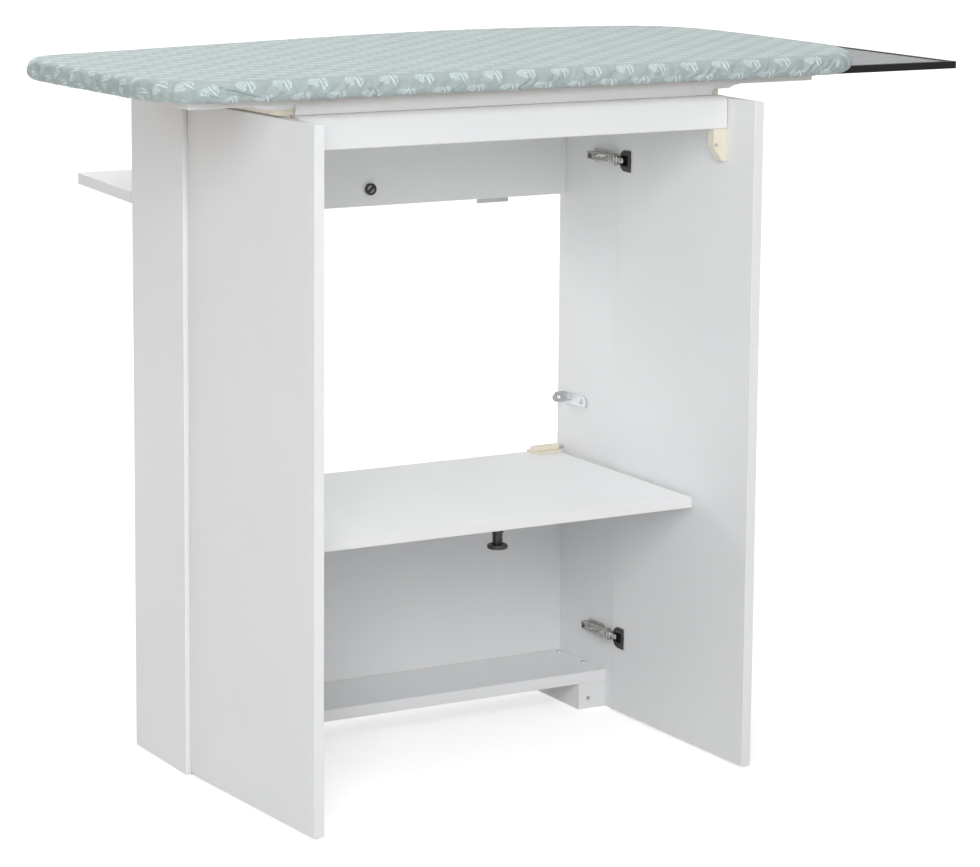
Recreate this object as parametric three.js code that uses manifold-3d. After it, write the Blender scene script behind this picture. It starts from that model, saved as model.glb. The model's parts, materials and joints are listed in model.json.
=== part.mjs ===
// Ironing board cabinet, shown open: an open-backed carcass on the floor, two inset
// doors turned out as front legs, a lifting top frame that carries the padded board
// and a framed mirror panel, a fold-up work shelf, a knob and a turning catch.
// Millimetres, +Z up. The front of the cabinet looks along -Y.

import * as THREE from 'three';
import { mergeVertices } from 'three/addons/utils/BufferGeometryUtils.js';
import Module from 'manifold-3d';

const wasm = await Module();
wasm.setup();

// ---- driving dimensions ---------------------------------------------------

// Carcass
const carcassWidth = 670;
const carcassHeight = 880;
const carcassDepth = 158;
const panelThickness = 16;
const edgeRadius = 0.8;
const backRailHeight = 170;
const bottomShelfTop = 53;
const bottomShelfSetback = 20;
const lowerPanelGap = 1;
const footBlockWidth = 43;
const footBlockInset = 4;
const footHoleRadius = 3;
const footHoleInset = 15.5;
const footHoleHeight = 14.5;

// Doors, each turned about the virtual axis of its inset hinges
const doorThickness = 14;
const doorFloorGap = 3;
const doorSideGap = 1;
const doorMeetingGap = 2;
const doorStandIn = 6;
const doorHingeGap = 2;
const leftDoorTurnIn = 3.3;
const rightDoorTurnIn = -0.8;

// Cup hinges
const lowerHingeHeight = 108;
const upperHingeDrop = 107;
const hingeArmLength = 62;
const hingeArmHeight = 14;
const hingeArmStart = 7;
const cupRadius = 13;
const cupDepth = 10;
const cupClearance = 0.4;
const cupFlangeWidth = 27;
const cupFlangeHeight = 29;
const cupFlangeThickness = 1.6;
const cupEdgeDistance = 4;

// Work shelf and its pivots
const shelfThickness = 14;
const shelfTop = 343.5;
const shelfFront = -204;
const betweenDoorsGap = 1;
const shelfRightGap = 8;
const shelfPivotY = 143;
const shelfBarrelRadius = 5.5;
const shelfFittingLength = 41;
const shelfFittingDepth = 27;
const shelfFittingPlate = 3;
const pivotPinRadius = 2.5;
const pivotClearance = 0.3;
const pinDepthInPanel = 11;

// Knob and catch
const knobX = 20;
const knobSetback = 14;
const knobStemRadius = 5;
const knobStemLength = 18;
const knobCapRadius = 15.5;
const knobCapHeight = 10;
const latchLength = 34;
const latchWidth = 14;
const latchThickness = 2;
const catchX = 8.5;
const catchAboveRailEdge = 23.5;
const catchRadius = 8.5;
const catchThickness = 6;
const boardFaceGap = 0.3;

// Wall brackets
const bracketHeight = 422;
const bracketRear = 140;
const bracketLeg = 62;
const bracketTab = 20;
const bracketScrewPlaces = [15, 45];
const bracketWidth = 15;
const bracketThickness = 2;
const bracketHoleRadius = 2.5;

// Top frame
const railFront = -259;
const railThickness = 22;
const railRise = 3;
const railHeight = 42;
const railNose = 9;
const railRightGap = 1.3;
const armThickness = 7;
const armWidth = 30;
const armTabLength = 40;
const armTabThickness = 8;
const armSideReach = 21;
const topPivotY = 150;
const topPivotRise = 4;
const topEyeRadius = 6.5;
const pivotBlockWidth = 22;
const beamThickness = 5.2;
const beamOverhang = 13.2;
const beamCove = 5;
const frontBeam = [-240, -150];
const rearBeam = [50, 135];
const stackGap = 0.3;

// Door support blocks
const supportReach = 19.5;
const supportWidth = 13;
const supportHeight = 42.5;
const supportStraight = 24;
const supportTip = 6;
const supportSetback = 3;

// Board assembly
const battenThickness = 10;
const frontBatten = { x: [-440, 460], y: [-244, -187] };
const rearBatten = { x: [-60, 500], y: [184, 232] };
const mirrorX = [-275, 745];
const mirrorY = [-183, 177];
const mirrorFrameWidth = 14;
const mirrorGlassThickness = 3;
const mirrorLip = 5;
const mirrorLipThickness = 1.2;
const mirrorBackingThickness = 4;
const baseBoardThickness = 4.7;
const padThickness = 25.6;
const padSkirt = 9.7;
const padLeft = -505;
const padRight = 572;
const padNear = -286;
const padFar = 296;

// The board's plan, corner by corner: each pair counts inwards from the two sides it
// is named for, first along X and then along Y. The last pair ends the curve.
const nearLeftCurve = [[12, 105], [22, 6], [110, 0]];
const nearRightCurve = [[122, 0], [84, 0], [6, 56], [0, 176]];
const farRightCurve = [[0, 236], [1, 146], [6, 38], [117, 23]];
const farRightCrest = [[237, 0], [357, 0]];
const farLeftCurve = [[505, 18], [305, 92], [65, 144]];
const noseCurve = [[2, 160], [0, 221]];

// Rear shelf
const rearShelfDepth = 175;
const rearShelfDrop = 133;
const rearShelfTilt = 2;
const rearShelfGap = 5;
const rearHingeX = 210;
const rearHingeWidth = 50;
const rearLeafHeight = 26;
const rearLeafThickness = 1.6;
const rearKnuckleRadius = 3.2;

// ---- materials ------------------------------------------------------------

function material(color, roughness, metalness = 0) {
  return new THREE.MeshStandardMaterial({ color, roughness, metalness });
}

const whiteBoard = material(0xf1f2f4, 0.45);
const creamPlastic = material(0xf0e4cf, 0.5);
const nickel = material(0xb9b6ad, 0.3, 1);
const zincSteel = material(0x9fa3a8, 0.4, 1);
const blackPlastic = material(0x1b1c1e, 0.4);
const greyPlastic = material(0xb9c4c2, 0.5);
const blackFrame = material(0x202224, 0.4);
const mirrorGlass = material(0xcfd8dc, 0.05, 1);
const mirrorBacking = material(0x8e979d, 0.4, 0.4);
const rawBoard = material(0xcdb48e, 0.7);
const sageFabric = material(0xa3b8b1, 0.8);

// ---- shape helpers --------------------------------------------------------

function toSolid(geometry) {
  const bare = geometry.clone();
  bare.deleteAttribute('normal');
  bare.deleteAttribute('uv');
  const merged = mergeVertices(bare, 1e-4);
  return new wasm.Manifold(new wasm.Mesh({
    numProp: 3,
    vertProperties: Float32Array.from(merged.attributes.position.array),
    triVerts: Uint32Array.from(merged.index.array),
  }));
}

function toGeometry(solid) {
  const mesh = solid.getMesh();
  const geometry = new THREE.BufferGeometry();
  geometry.setAttribute('position', new THREE.BufferAttribute(mesh.vertProperties, 3));
  geometry.setIndex(new THREE.BufferAttribute(mesh.triVerts, 1));
  return geometry;
}

function cut(geometry, tools) {
  const solid = tools.reduce((left, tool) => left.subtract(toSolid(tool)), toSolid(geometry));
  return toGeometry(solid);
}

function join(geometries) {
  const [first, ...rest] = geometries.map(toSolid);
  return toGeometry(rest.reduce((sum, next) => sum.add(next), first));
}

// Turns a shape drawn in U, V and raised along W so that W lies along the named axis.
const axisFrames = {
  x: new THREE.Matrix4().set(0, 0, 1, 0, 1, 0, 0, 0, 0, 1, 0, 0, 0, 0, 0, 1),
  y: new THREE.Matrix4().set(0, 1, 0, 0, 0, 0, 1, 0, 1, 0, 0, 0, 0, 0, 0, 1),
  z: new THREE.Matrix4(),
};

// An outline raised along an axis between two levels. The drawing plane is
// (Y, Z) for axis x, (Z, X) for axis y and (X, Y) for axis z.
function raised(shape, axis, [low, high], rounding = 0) {
  const geometry = new THREE.ExtrudeGeometry(shape, {
    depth: high - low - 2 * rounding,
    bevelEnabled: rounding > 0,
    bevelThickness: rounding,
    bevelSize: rounding,
    bevelOffset: -rounding,
    bevelSegments: 2,
    curveSegments: 12,
  });
  geometry.translate(0, 0, low + rounding);
  return geometry.applyMatrix4(axisFrames[axis]);
}

function outline(points) {
  return new THREE.Shape(points.map(([u, v]) => new THREE.Vector2(u, v)));
}

function rectangle([u0, u1], [v0, v1]) {
  return outline([[u0, v0], [u1, v0], [u1, v1], [u0, v1]]);
}

// A board with softly rounded edges round its two faces, which look along the axis.
function slab(axis, x, y, z, rounding = edgeRadius) {
  const plane = { x: [y, z], y: [z, x], z: [x, y] }[axis];
  return raised(rectangle(...plane), axis, { x, y, z }[axis], rounding);
}

function rod(axis, radius, [low, high], u, v, segments = 24) {
  const shape = new THREE.Shape().absarc(u, v, radius, 0, 2 * Math.PI);
  const geometry = new THREE.ExtrudeGeometry(shape, {
    depth: high - low,
    bevelEnabled: false,
    curveSegments: segments / 2,
  });
  geometry.translate(0, 0, low);
  return geometry.applyMatrix4(axisFrames[axis]);
}

function turned(profile, segments = 32) {
  const points = profile.map(([radius, height]) => new THREE.Vector2(radius, height));
  return new THREE.LatheGeometry(points, segments).rotateX(Math.PI / 2);
}

const cabinet = new THREE.Group();

function piece(name, geometry, finish, parent = cabinet) {
  const mesh = new THREE.Mesh(geometry, finish);
  mesh.name = name;
  parent.add(mesh);
  return mesh;
}

const sides = [['left', -1], ['right', 1]];

// The span between two signed distances from the middle, lowest first.
function span(side, near, far) {
  return side < 0 ? [-far, -near] : [near, far];
}

function inset([low, high], by) {
  return [low + by, high - by];
}

// ---- carcass --------------------------------------------------------------

const outerX = carcassWidth / 2;
const innerX = outerX - panelThickness;
const railTop = carcassHeight + railRise;
const railBottom = railTop - railHeight;
const shelfUnderside = shelfTop - shelfThickness;
const shelfPivotZ = shelfTop + shelfBarrelRadius;
const pinHoleRadius = pivotPinRadius + pivotClearance;
const hingeHeights = [lowerHingeHeight, carcassHeight - upperHingeDrop];

for (const [label, side] of sides) {
  const board = slab('x', span(side, innerX, outerX), [0, carcassDepth], [0, carcassHeight]);
  const pinSocket = rod('x', pinHoleRadius, span(side, innerX - 1, innerX + pinDepthInPanel + 1),
    shelfPivotY, shelfPivotZ);
  piece(`side_panel_${label}`, cut(board, [pinSocket]), whiteBoard);
}

const innerSpan = [-innerX, innerX];
const rearBoard = [carcassDepth - panelThickness, carcassDepth];
const backRailBottom = carcassHeight - backRailHeight;

// The lower panel ends under the circle that the shelf's rear corner sweeps as it folds
const shelfHeel = Math.hypot(carcassDepth - shelfPivotY, shelfPivotZ - shelfUnderside);
const lowerPanelTop = shelfPivotZ - shelfHeel - lowerPanelGap;

piece('back_rail', slab('y', innerSpan, rearBoard, [backRailBottom, carcassHeight]), whiteBoard);
piece('lower_back_panel', slab('y', innerSpan, rearBoard, [bottomShelfTop, lowerPanelTop]),
  whiteBoard);
piece('bottom_shelf', slab('z', innerSpan, [bottomShelfSetback, carcassDepth],
  [bottomShelfTop - panelThickness, bottomShelfTop]), whiteBoard);

for (const [label, side] of sides) {
  const block = slab('y', span(side, innerX - footBlockWidth, innerX),
    [bottomShelfSetback, carcassDepth - footBlockInset], [0, bottomShelfTop - panelThickness]);
  const screwHole = rod('y', footHoleRadius, [bottomShelfSetback - 1, bottomShelfSetback + 9],
    footHoleHeight, side * (innerX - footBlockWidth + footHoleInset));
  piece(`foot_block_${label}`, cut(block, [screwHole]), whiteBoard);
}

// Screw heads that hold the bottom shelf down on its foot blocks
const shelfScrewInsets = [[7, 47], [9, 111]];
for (const [label, side] of sides) {
  shelfScrewInsets.forEach(([fromPanel, fromFront], index) => {
    const head = turned([[0, 0], [4, 0], [3.6, 1.1], [2.2, 1.7], [0, 1.9]], 20);
    head.translate(side * (innerX - fromPanel), bottomShelfSetback + fromFront, bottomShelfTop);
    piece(`shelf_screw_${label}_${index + 1}`, head, zincSteel);
  });
}

// The outline of a strip from its square end to its round end.
function strip(squareEnd, roundEnd, middle, width) {
  const radius = width / 2;
  const way = Math.sign(roundEnd - squareEnd);
  const points = [[squareEnd, middle - radius]];
  for (let i = 0; i <= 12; i += 1) {
    const angle = -Math.PI / 2 + (Math.PI * i) / 12;
    points.push([roundEnd + way * radius * (Math.cos(angle) - 1), middle + radius * Math.sin(angle)]);
  }
  points.push([squareEnd, middle + radius]);
  return points;
}

// Wall brackets: a leg along the side panel and a drilled tab turned in behind the
// folded work shelf, which comes to rest against it
for (const [label, side] of sides) {
  const tabY = [bracketRear - bracketThickness, bracketRear];
  const legOutline = strip(bracketRear, bracketRear - bracketLeg, bracketHeight, bracketWidth);
  const leg = raised(outline(legOutline), 'x', span(side, innerX - bracketThickness, innerX));
  const tabOutline = strip(side * innerX, side * (innerX - bracketTab), bracketHeight, bracketWidth);
  const tab = raised(outline(tabOutline.map(([x, z]) => [z, x])), 'y', tabY);
  const tabHole = rod('y', bracketHoleRadius, [tabY[0] - 1, tabY[1] + 1],
    bracketHeight, side * (innerX - bracketTab / 2));
  piece(`wall_bracket_${label}`, cut(join([leg, tab]), [tabHole]), zincSteel);
  bracketScrewPlaces.forEach((fromEnd, index) => {
    const head = turned([[0, 0], [3.8, 0], [3.4, 1.2], [2, 1.9], [0, 2.1]], 20);
    head.rotateY(-side * Math.PI / 2);
    head.translate(side * (innerX - bracketThickness), bracketRear - bracketLeg + fromEnd, bracketHeight);
    piece(`bracket_screw_${label}_${index + 1}`, head, zincSteel);
  });
}

// ---- doors and their hinges ----------------------------------------------

// Closed, a door's hinge edge stands at closedX in the front plane. Open, the same
// corner stands at openX in front of the side panel. The axis turns one into the other.
const doorWidth = (2 * innerX - 2 * doorSideGap - doorMeetingGap) / 2;
const closedX = innerX - doorSideGap;
const openX = outerX - doorStandIn;
const doorAxisY = (openX - closedX - doorHingeGap) / 2;
const doorAxisX = openX - doorAxisY;
const doorOuterOffset = openX - doorAxisX;
const doorInnerOffset = doorOuterOffset - doorThickness;
const doorHingeEdge = -doorHingeGap - doorAxisY;
const doorFreeEdge = doorHingeEdge - doorWidth;
const doorTurnIn = { left: leftDoorTurnIn, right: rightDoorTurnIn };

// Where a door's inner face crosses a line of constant Y, away from the middle.
function doorFaceDistance(label, y) {
  const turn = THREE.MathUtils.degToRad(doorTurnIn[label]);
  const along = (doorAxisY - y - doorInnerOffset * Math.sin(turn)) / Math.cos(turn);
  return doorAxisX + doorInnerOffset * Math.cos(turn) - along * Math.sin(turn);
}

const cupCentreY = doorHingeEdge - cupEdgeDistance - cupRadius;
const supportY = [railFront + supportSetback, railFront + supportSetback + supportWidth];

for (const [label, side] of sides) {
  const leaf = new THREE.Group();
  leaf.position.set(side * doorAxisX, doorAxisY, 0);
  leaf.rotation.z = -side * THREE.MathUtils.degToRad(doorTurnIn[label]);
  cabinet.add(leaf);

  const leafX = [side * doorInnerOffset, side * doorOuterOffset].sort((a, b) => a - b);
  const board = slab('x', leafX, [doorFreeEdge, doorHingeEdge], [doorFloorGap, carcassHeight]);
  const boreX = [doorInnerOffset - 1, doorInnerOffset + cupDepth + cupClearance];
  const cupBores = hingeHeights.map((height) => rod('x', cupRadius + cupClearance,
    side < 0 ? [-boreX[1], -boreX[0]] : boreX, cupCentreY, height));
  piece(`door_${label}`, cut(board, cupBores), whiteBoard, leaf);

  hingeHeights.forEach((height, index) => {
    const face = doorInnerOffset - stackGap;
    const body = rod('x', cupRadius, side < 0 ? [-face - cupDepth, -face + 0.5]
      : [face - 0.5, face + cupDepth], cupCentreY, height);
    const flangeX = side < 0 ? [-face, -face + cupFlangeThickness] : [face - cupFlangeThickness, face];
    const flangeOutline = new THREE.Shape();
    flangeOutline.moveTo(cupCentreY - cupFlangeWidth / 2, height - cupFlangeHeight / 2);
    flangeOutline.lineTo(cupCentreY, height - cupFlangeHeight / 2);
    flangeOutline.absellipse(cupCentreY, height, cupFlangeWidth / 2, cupFlangeHeight / 2,
      -Math.PI / 2, Math.PI / 2, false, 0);
    flangeOutline.lineTo(cupCentreY - cupFlangeWidth / 2, height + cupFlangeHeight / 2);
    flangeOutline.closePath();
    const flange = raised(flangeOutline, 'x', flangeX, 0.5);
    const pocketX = side < 0 ? [-face - cupDepth + 2, -face + 4] : [face - 4, face + cupDepth - 2];
    const pocket = slab('x', pocketX, [cupCentreY - 8, cupCentreY + 8], [height - 7, height + 7], 0);
    const number = ['lower', 'upper'][index];
    piece(`hinge_cup_${label}_${number}`, cut(join([body, flange]), [pocket]), blackPlastic, leaf);
  });

  // A wedge on the door's inner face that the top frame's rail comes down on
  const faceOffset = doorInnerOffset - stackGap;
  const top = railBottom - stackGap;
  const wedge = outline([
    [side * faceOffset, top - supportHeight],
    [side * faceOffset, top],
    [side * (faceOffset - supportReach), top],
    [side * (faceOffset - supportReach), top - supportStraight],
    [side * (faceOffset - supportTip), top - supportHeight],
  ]);
  const localY = supportY.map((y) => y - doorAxisY);
  const wedgeBlock = raised(wedge, 'z', [0, supportWidth])
    .applyMatrix4(new THREE.Matrix4().set(1, 0, 0, 0, 0, 0, -1, localY[1], 0, 1, 0, 0, 0, 0, 0, 1));
  piece(`support_block_${label}`, wedgeBlock, creamPlastic, leaf);
}

// Hinge arms: a stepped nickel arm on a mounting plate inside the side panel
for (const [label, side] of sides) {
  hingeHeights.forEach((height, index) => {
    const face = innerX;
    const profile = outline([
      [hingeArmStart, side * face],
      [hingeArmStart + hingeArmLength, side * face],
      [hingeArmStart + hingeArmLength, side * (face - 5)],
      [hingeArmStart + 26, side * (face - 10)],
      [-3, side * (face - 13)],
      [-3, side * (face - 8)],
      [hingeArmStart, side * (face - 6)],
    ]);
    const arm = raised(profile, 'z', [height - hingeArmHeight / 2, height + hingeArmHeight / 2])
      .applyMatrix4(new THREE.Matrix4().set(0, 1, 0, 0, 1, 0, 0, 0, 0, 0, 1, 0, 0, 0, 0, 1));
    const fixed = toSolid(flipped(arm));
    const plate = slab('x', span(side, face - 3, face), [hingeArmStart + 18, hingeArmStart + 34],
      [height - 16, height + 16], 0);
    const slot = slab('x', span(side, face - 14, face - 4), [hingeArmStart + 34, hingeArmStart + 48],
      [height - 2, height + 2], 0);
    const number = ['lower', 'upper'][index];
    const solid = fixed.add(toSolid(plate)).subtract(toSolid(slot));
    piece(`hinge_arm_${label}_${number}`, toGeometry(solid), nickel);
  });
}

// A mirrored geometry with its faces turned the right way out again.
function flipped(geometry) {
  const flat = geometry.index ? geometry.toNonIndexed() : geometry.clone();
  const p = flat.attributes.position;
  for (let i = 0; i < p.count; i += 3) {
    const a = new THREE.Vector3().fromBufferAttribute(p, i + 1);
    const b = new THREE.Vector3().fromBufferAttribute(p, i + 2);
    p.setXYZ(i + 1, b.x, b.y, b.z);
    p.setXYZ(i + 2, a.x, a.y, a.z);
  }
  return flat;
}

// ---- work shelf -----------------------------------------------------------

const shelfX = [
  -doorFaceDistance('left', shelfFront) + betweenDoorsGap,
  doorFaceDistance('right', shelfFront) - shelfRightGap,
];
const fittingSpans = {
  left: [shelfX[0], shelfX[0] + shelfFittingLength],
  right: [shelfX[1] - shelfFittingLength, shelfX[1]],
};
const fittingY = [carcassDepth - shelfFittingDepth, carcassDepth];

// Each rear corner of the shelf is notched for its fitting
const cornerNotches = sides.map(([label]) => slab('z', inset(fittingSpans[label], -boardFaceGap),
  inset(fittingY, -boardFaceGap), [shelfUnderside - 1, shelfTop + 1], 0));
const shelfBoard = slab('z', shelfX, [shelfFront, carcassDepth], [shelfUnderside, shelfTop]);
piece('work_shelf', cut(shelfBoard, cornerNotches), whiteBoard);

for (const [label, side] of sides) {
  const x = fittingSpans[label];
  const body = slab('z', x, fittingY, [shelfUnderside, shelfTop + shelfFittingPlate], 0);
  const barrel = rod('x', shelfBarrelRadius, x, shelfPivotY, shelfPivotZ);
  const hole = rod('x', pinHoleRadius, side < 0 ? [x[0] - 1, x[0] + 30] : [x[1] - 30, x[1] + 1],
    shelfPivotY, shelfPivotZ);
  piece(`shelf_fitting_${label}`, cut(join([body, barrel]), [hole]), creamPlastic);
  const pinX = side < 0 ? [-innerX - pinDepthInPanel, x[0] + 28] : [x[1] - 28, innerX + pinDepthInPanel];
  piece(`shelf_pivot_pin_${label}`, rod('x', pivotPinRadius, pinX, shelfPivotY, shelfPivotZ),
    zincSteel);
}

// Knob and its latch plate under the shelf's front edge
const knobY = shelfFront + knobSetback;
const latchBottom = shelfUnderside - boardFaceGap - latchThickness;
const knobBottom = latchBottom - boardFaceGap - knobStemLength - knobCapHeight;
const knob = turned([
  [0, 0], [knobCapRadius - 3, 0], [knobCapRadius, 2.5], [knobCapRadius, knobCapHeight - 2.5],
  [knobCapRadius - 3, knobCapHeight], [knobStemRadius, knobCapHeight + 2],
  [knobStemRadius, knobCapHeight + knobStemLength], [0, knobCapHeight + knobStemLength],
]);
knob.translate(knobX, knobY, knobBottom);
piece('shelf_knob', knob, blackPlastic);
piece('latch_plate', slab('z', [knobX - latchWidth / 2, knobX - latchWidth / 2 + latchLength],
  [knobY - latchWidth / 2, knobY + latchWidth / 2], [latchBottom, latchBottom + latchThickness], 0.4),
greyPlastic);

// Turning catch on the front of the back rail
const catchBack = carcassDepth - panelThickness - boardFaceGap;
const catchDisc = turned([
  [0, 0], [catchRadius, 0], [catchRadius, catchThickness - 1.5],
  [catchRadius - 1.5, catchThickness - 0.5], [catchRadius - 3.5, catchThickness - 0.5],
  [catchRadius - 4, catchThickness - 2], [0, catchThickness - 2],
]);
const catchBar = slab('z', [-catchRadius + 3.4, catchRadius - 3.4], [-1.6, 1.6],
  [catchThickness - 3, catchThickness], 0);
catchBar.rotateZ(THREE.MathUtils.degToRad(40));
const turnCatch = join([catchDisc, catchBar]);
turnCatch.rotateX(Math.PI / 2);
turnCatch.translate(catchX, catchBack, backRailBottom + catchAboveRailEdge);
piece('turn_catch', turnCatch, blackPlastic);

// ---- lifting top frame ----------------------------------------------------

const railX = [
  -doorFaceDistance('left', railFront) + betweenDoorsGap,
  doorFaceDistance('right', railFront) - railRightGap,
];
const railBack = railFront + railThickness;

// Section in (Z, X') drawn for axis x as (Y, Z): square at the back, round at the top front
const railSection = new THREE.Shape();
railSection.moveTo(railBack, railBottom);
railSection.lineTo(railBack, railTop);
railSection.lineTo(railFront + railNose, railTop);
railSection.absarc(railFront + railNose, railTop - railNose, railNose, Math.PI / 2, Math.PI, false);
railSection.lineTo(railFront, railBottom + 1);
railSection.lineTo(railFront + 1, railBottom);
railSection.closePath();
piece('front_rail', raised(railSection, 'x', railX, edgeRadius), whiteBoard);

const armBottom = railTop + stackGap;
const armTop = armBottom + armThickness;
const armFront = railBack + stackGap;
const armOuter = { left: -railX[0] + armSideReach, right: innerX - 1 };
const eyeHole = topEyeRadius - 3.7;
const topPivotZ = railTop + topPivotRise;

for (const [label, side] of sides) {
  const x = span(side, armOuter[label] - armWidth, armOuter[label]);
  const bar = slab('x', x, [armFront, topPivotY], [armBottom, armTop], 0.6);
  const railEnd = side < 0 ? railX[0] : railX[1];
  const tabX = side < 0 ? [railEnd + 1, x[1]] : [x[0], railEnd - 1];
  const tab = slab('y', tabX, [armFront, armFront + armTabThickness],
    [armTop - armTabLength, armTop - 1], 0);
  const eye = rod('x', topEyeRadius, x, topPivotY, topPivotZ, 28);
  const hole = rod('x', eyeHole, [x[0] - 1, x[1] + 1], topPivotY, topPivotZ);
  piece(`frame_arm_${label}`, cut(join([bar, tab, eye]), [hole]), creamPlastic);

  const blockOuter = armOuter[label] - armWidth - 1;
  const blockX = span(side, blockOuter - pivotBlockWidth, blockOuter);
  const foot = slab('x', blockX, [topPivotY - topEyeRadius, topPivotY + topEyeRadius],
    [carcassHeight, topPivotZ], 0);
  const cheek = rod('x', topEyeRadius, blockX, topPivotY, topPivotZ, 28);
  const socket = rod('x', eyeHole, [blockX[0] - 1, blockX[1] + 1], topPivotY, topPivotZ);
  piece(`pivot_block_${label}`, cut(join([foot, cheek]), [socket]), creamPlastic);
  piece(`top_pivot_pin_${label}`, rod('x', eyeHole - pivotClearance,
    span(side, blockOuter - pivotBlockWidth - 1, armOuter[label] - 2), topPivotY, topPivotZ), nickel);
}

// Cross beams under the board, each end hollowed by a cove
const beamReach = armOuter.left + beamOverhang;
const beamBottom = armTop + stackGap;
const beamTop = beamBottom + beamThickness;
for (const [name, y] of [['front_beam', frontBeam], ['rear_beam', rearBeam]]) {
  const section = new THREE.Shape();
  section.moveTo(beamBottom, -beamReach);
  section.lineTo(beamBottom, beamReach);
  section.quadraticCurveTo(beamTop - 1, beamReach + beamCove, beamTop - 1, beamReach + 3 * beamCove);
  section.lineTo(beamTop, beamReach + 3 * beamCove);
  section.lineTo(beamTop, -beamReach - 3 * beamCove);
  section.lineTo(beamTop - 1, -beamReach - 3 * beamCove);
  section.quadraticCurveTo(beamTop - 1, -beamReach - beamCove, beamBottom, -beamReach);
  piece(name, raised(section, 'y', y), whiteBoard);
}

// Battens under the board
const battenBottom = beamTop + stackGap;
const battenTop = battenBottom + battenThickness;
piece('front_batten', slab('z', frontBatten.x, frontBatten.y, [battenBottom, battenTop]), whiteBoard);
piece('rear_batten', slab('z', rearBatten.x, rearBatten.y, [battenBottom, battenTop]), whiteBoard);

// ---- framed mirror panel between the battens -------------------------------

const mirrorZ = [battenBottom, battenTop];
const glassBottom = mirrorZ[0] + mirrorLipThickness + stackGap;
const backingBottom = mirrorZ[1] - mirrorBackingThickness;
const frameBlank = slab('z', mirrorX, mirrorY, mirrorZ, 0.6);
const sightOpening = slab('z', inset(mirrorX, mirrorFrameWidth), inset(mirrorY, mirrorFrameWidth),
  [mirrorZ[0] - 1, mirrorZ[1] + 1], 0);
const rebate = slab('z', inset(mirrorX, mirrorFrameWidth - mirrorLip),
  inset(mirrorY, mirrorFrameWidth - mirrorLip), [mirrorZ[0] + mirrorLipThickness, mirrorZ[1] + 1], 0);
piece('mirror_frame', cut(frameBlank, [sightOpening, rebate]), blackFrame);
const paneX = inset(mirrorX, mirrorFrameWidth - mirrorLip + stackGap);
const paneY = inset(mirrorY, mirrorFrameWidth - mirrorLip + stackGap);
piece('mirror_glass', slab('z', paneX, paneY, [glassBottom, glassBottom + mirrorGlassThickness], 0),
  mirrorGlass);
piece('mirror_backing', slab('z', paneX, paneY, [backingBottom, mirrorZ[1] - 0.8], 0), mirrorBacking);

// ---- board and pad ---------------------------------------------------------

// The board's plan: straight near edge, blunt left nose, rounded right end and a far
// edge that runs out in one long curve to the widest place near the right end.
function boardPlan(by) {
  const fromLeft = (x) => padLeft + by + x;
  const fromRight = (x) => padRight - by - x;
  const fromNear = (y) => padNear + by + y;
  const fromFar = (y) => padFar - by - y;
  const places = (pairs, acrossX, acrossY) => pairs.map(([x, y]) => [acrossX(x), acrossY(y)]);
  const [noseEnd, nearLeftLean, nearLeftEnd] = places(nearLeftCurve, fromLeft, fromNear);
  const [nearRightStart, ...nearRight] = places(nearRightCurve, fromRight, fromNear);
  const [farRightStart, ...farRight] = places(farRightCurve, fromRight, fromFar);
  const shape = new THREE.Shape();
  shape.moveTo(...nearLeftEnd);
  shape.lineTo(...nearRightStart);
  shape.bezierCurveTo(...nearRight.flat());
  shape.lineTo(...farRightStart);
  shape.bezierCurveTo(...farRight.flat());
  shape.quadraticCurveTo(...places(farRightCrest, fromRight, fromFar).flat());
  shape.bezierCurveTo(...places(farLeftCurve, fromLeft, fromFar).flat());
  shape.quadraticCurveTo(...places(noseCurve, fromLeft, fromFar).flat());
  shape.lineTo(...noseEnd);
  shape.quadraticCurveTo(...nearLeftLean, ...nearLeftEnd);
  return shape;
}

const baseBottom = battenTop + stackGap;
const baseTop = baseBottom + baseBoardThickness;
const padTop = baseBottom + padThickness;
piece('base_board', raised(boardPlan(padSkirt + stackGap), 'z', [baseBottom, baseTop]), rawBoard);
const padBody = raised(boardPlan(0), 'z', [baseBottom, padTop], 6);
const padRecess = raised(boardPlan(padSkirt), 'z', [baseBottom - 1, baseTop + stackGap]);
piece('board_pad', cut(padBody, [padRecess]), sageFabric);

// ---- rear shelf ------------------------------------------------------------

const rearTurn = THREE.MathUtils.degToRad(rearShelfTilt);
const rearAxisY = carcassDepth + rearKnuckleRadius + stackGap;
const rearAxisZ = carcassHeight - rearShelfDrop - panelThickness - rearKnuckleRadius;
const rearFlap = new THREE.Group();
rearFlap.position.set(0, rearAxisY, rearAxisZ);
rearFlap.rotation.x = rearTurn;
cabinet.add(rearFlap);

const flapUnderside = rearKnuckleRadius + stackGap;
piece('rear_shelf', slab('z', [-outerX, outerX], [rearShelfGap - rearKnuckleRadius, rearShelfDepth],
  [flapUnderside, flapUnderside + panelThickness]), whiteBoard, rearFlap);

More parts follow.
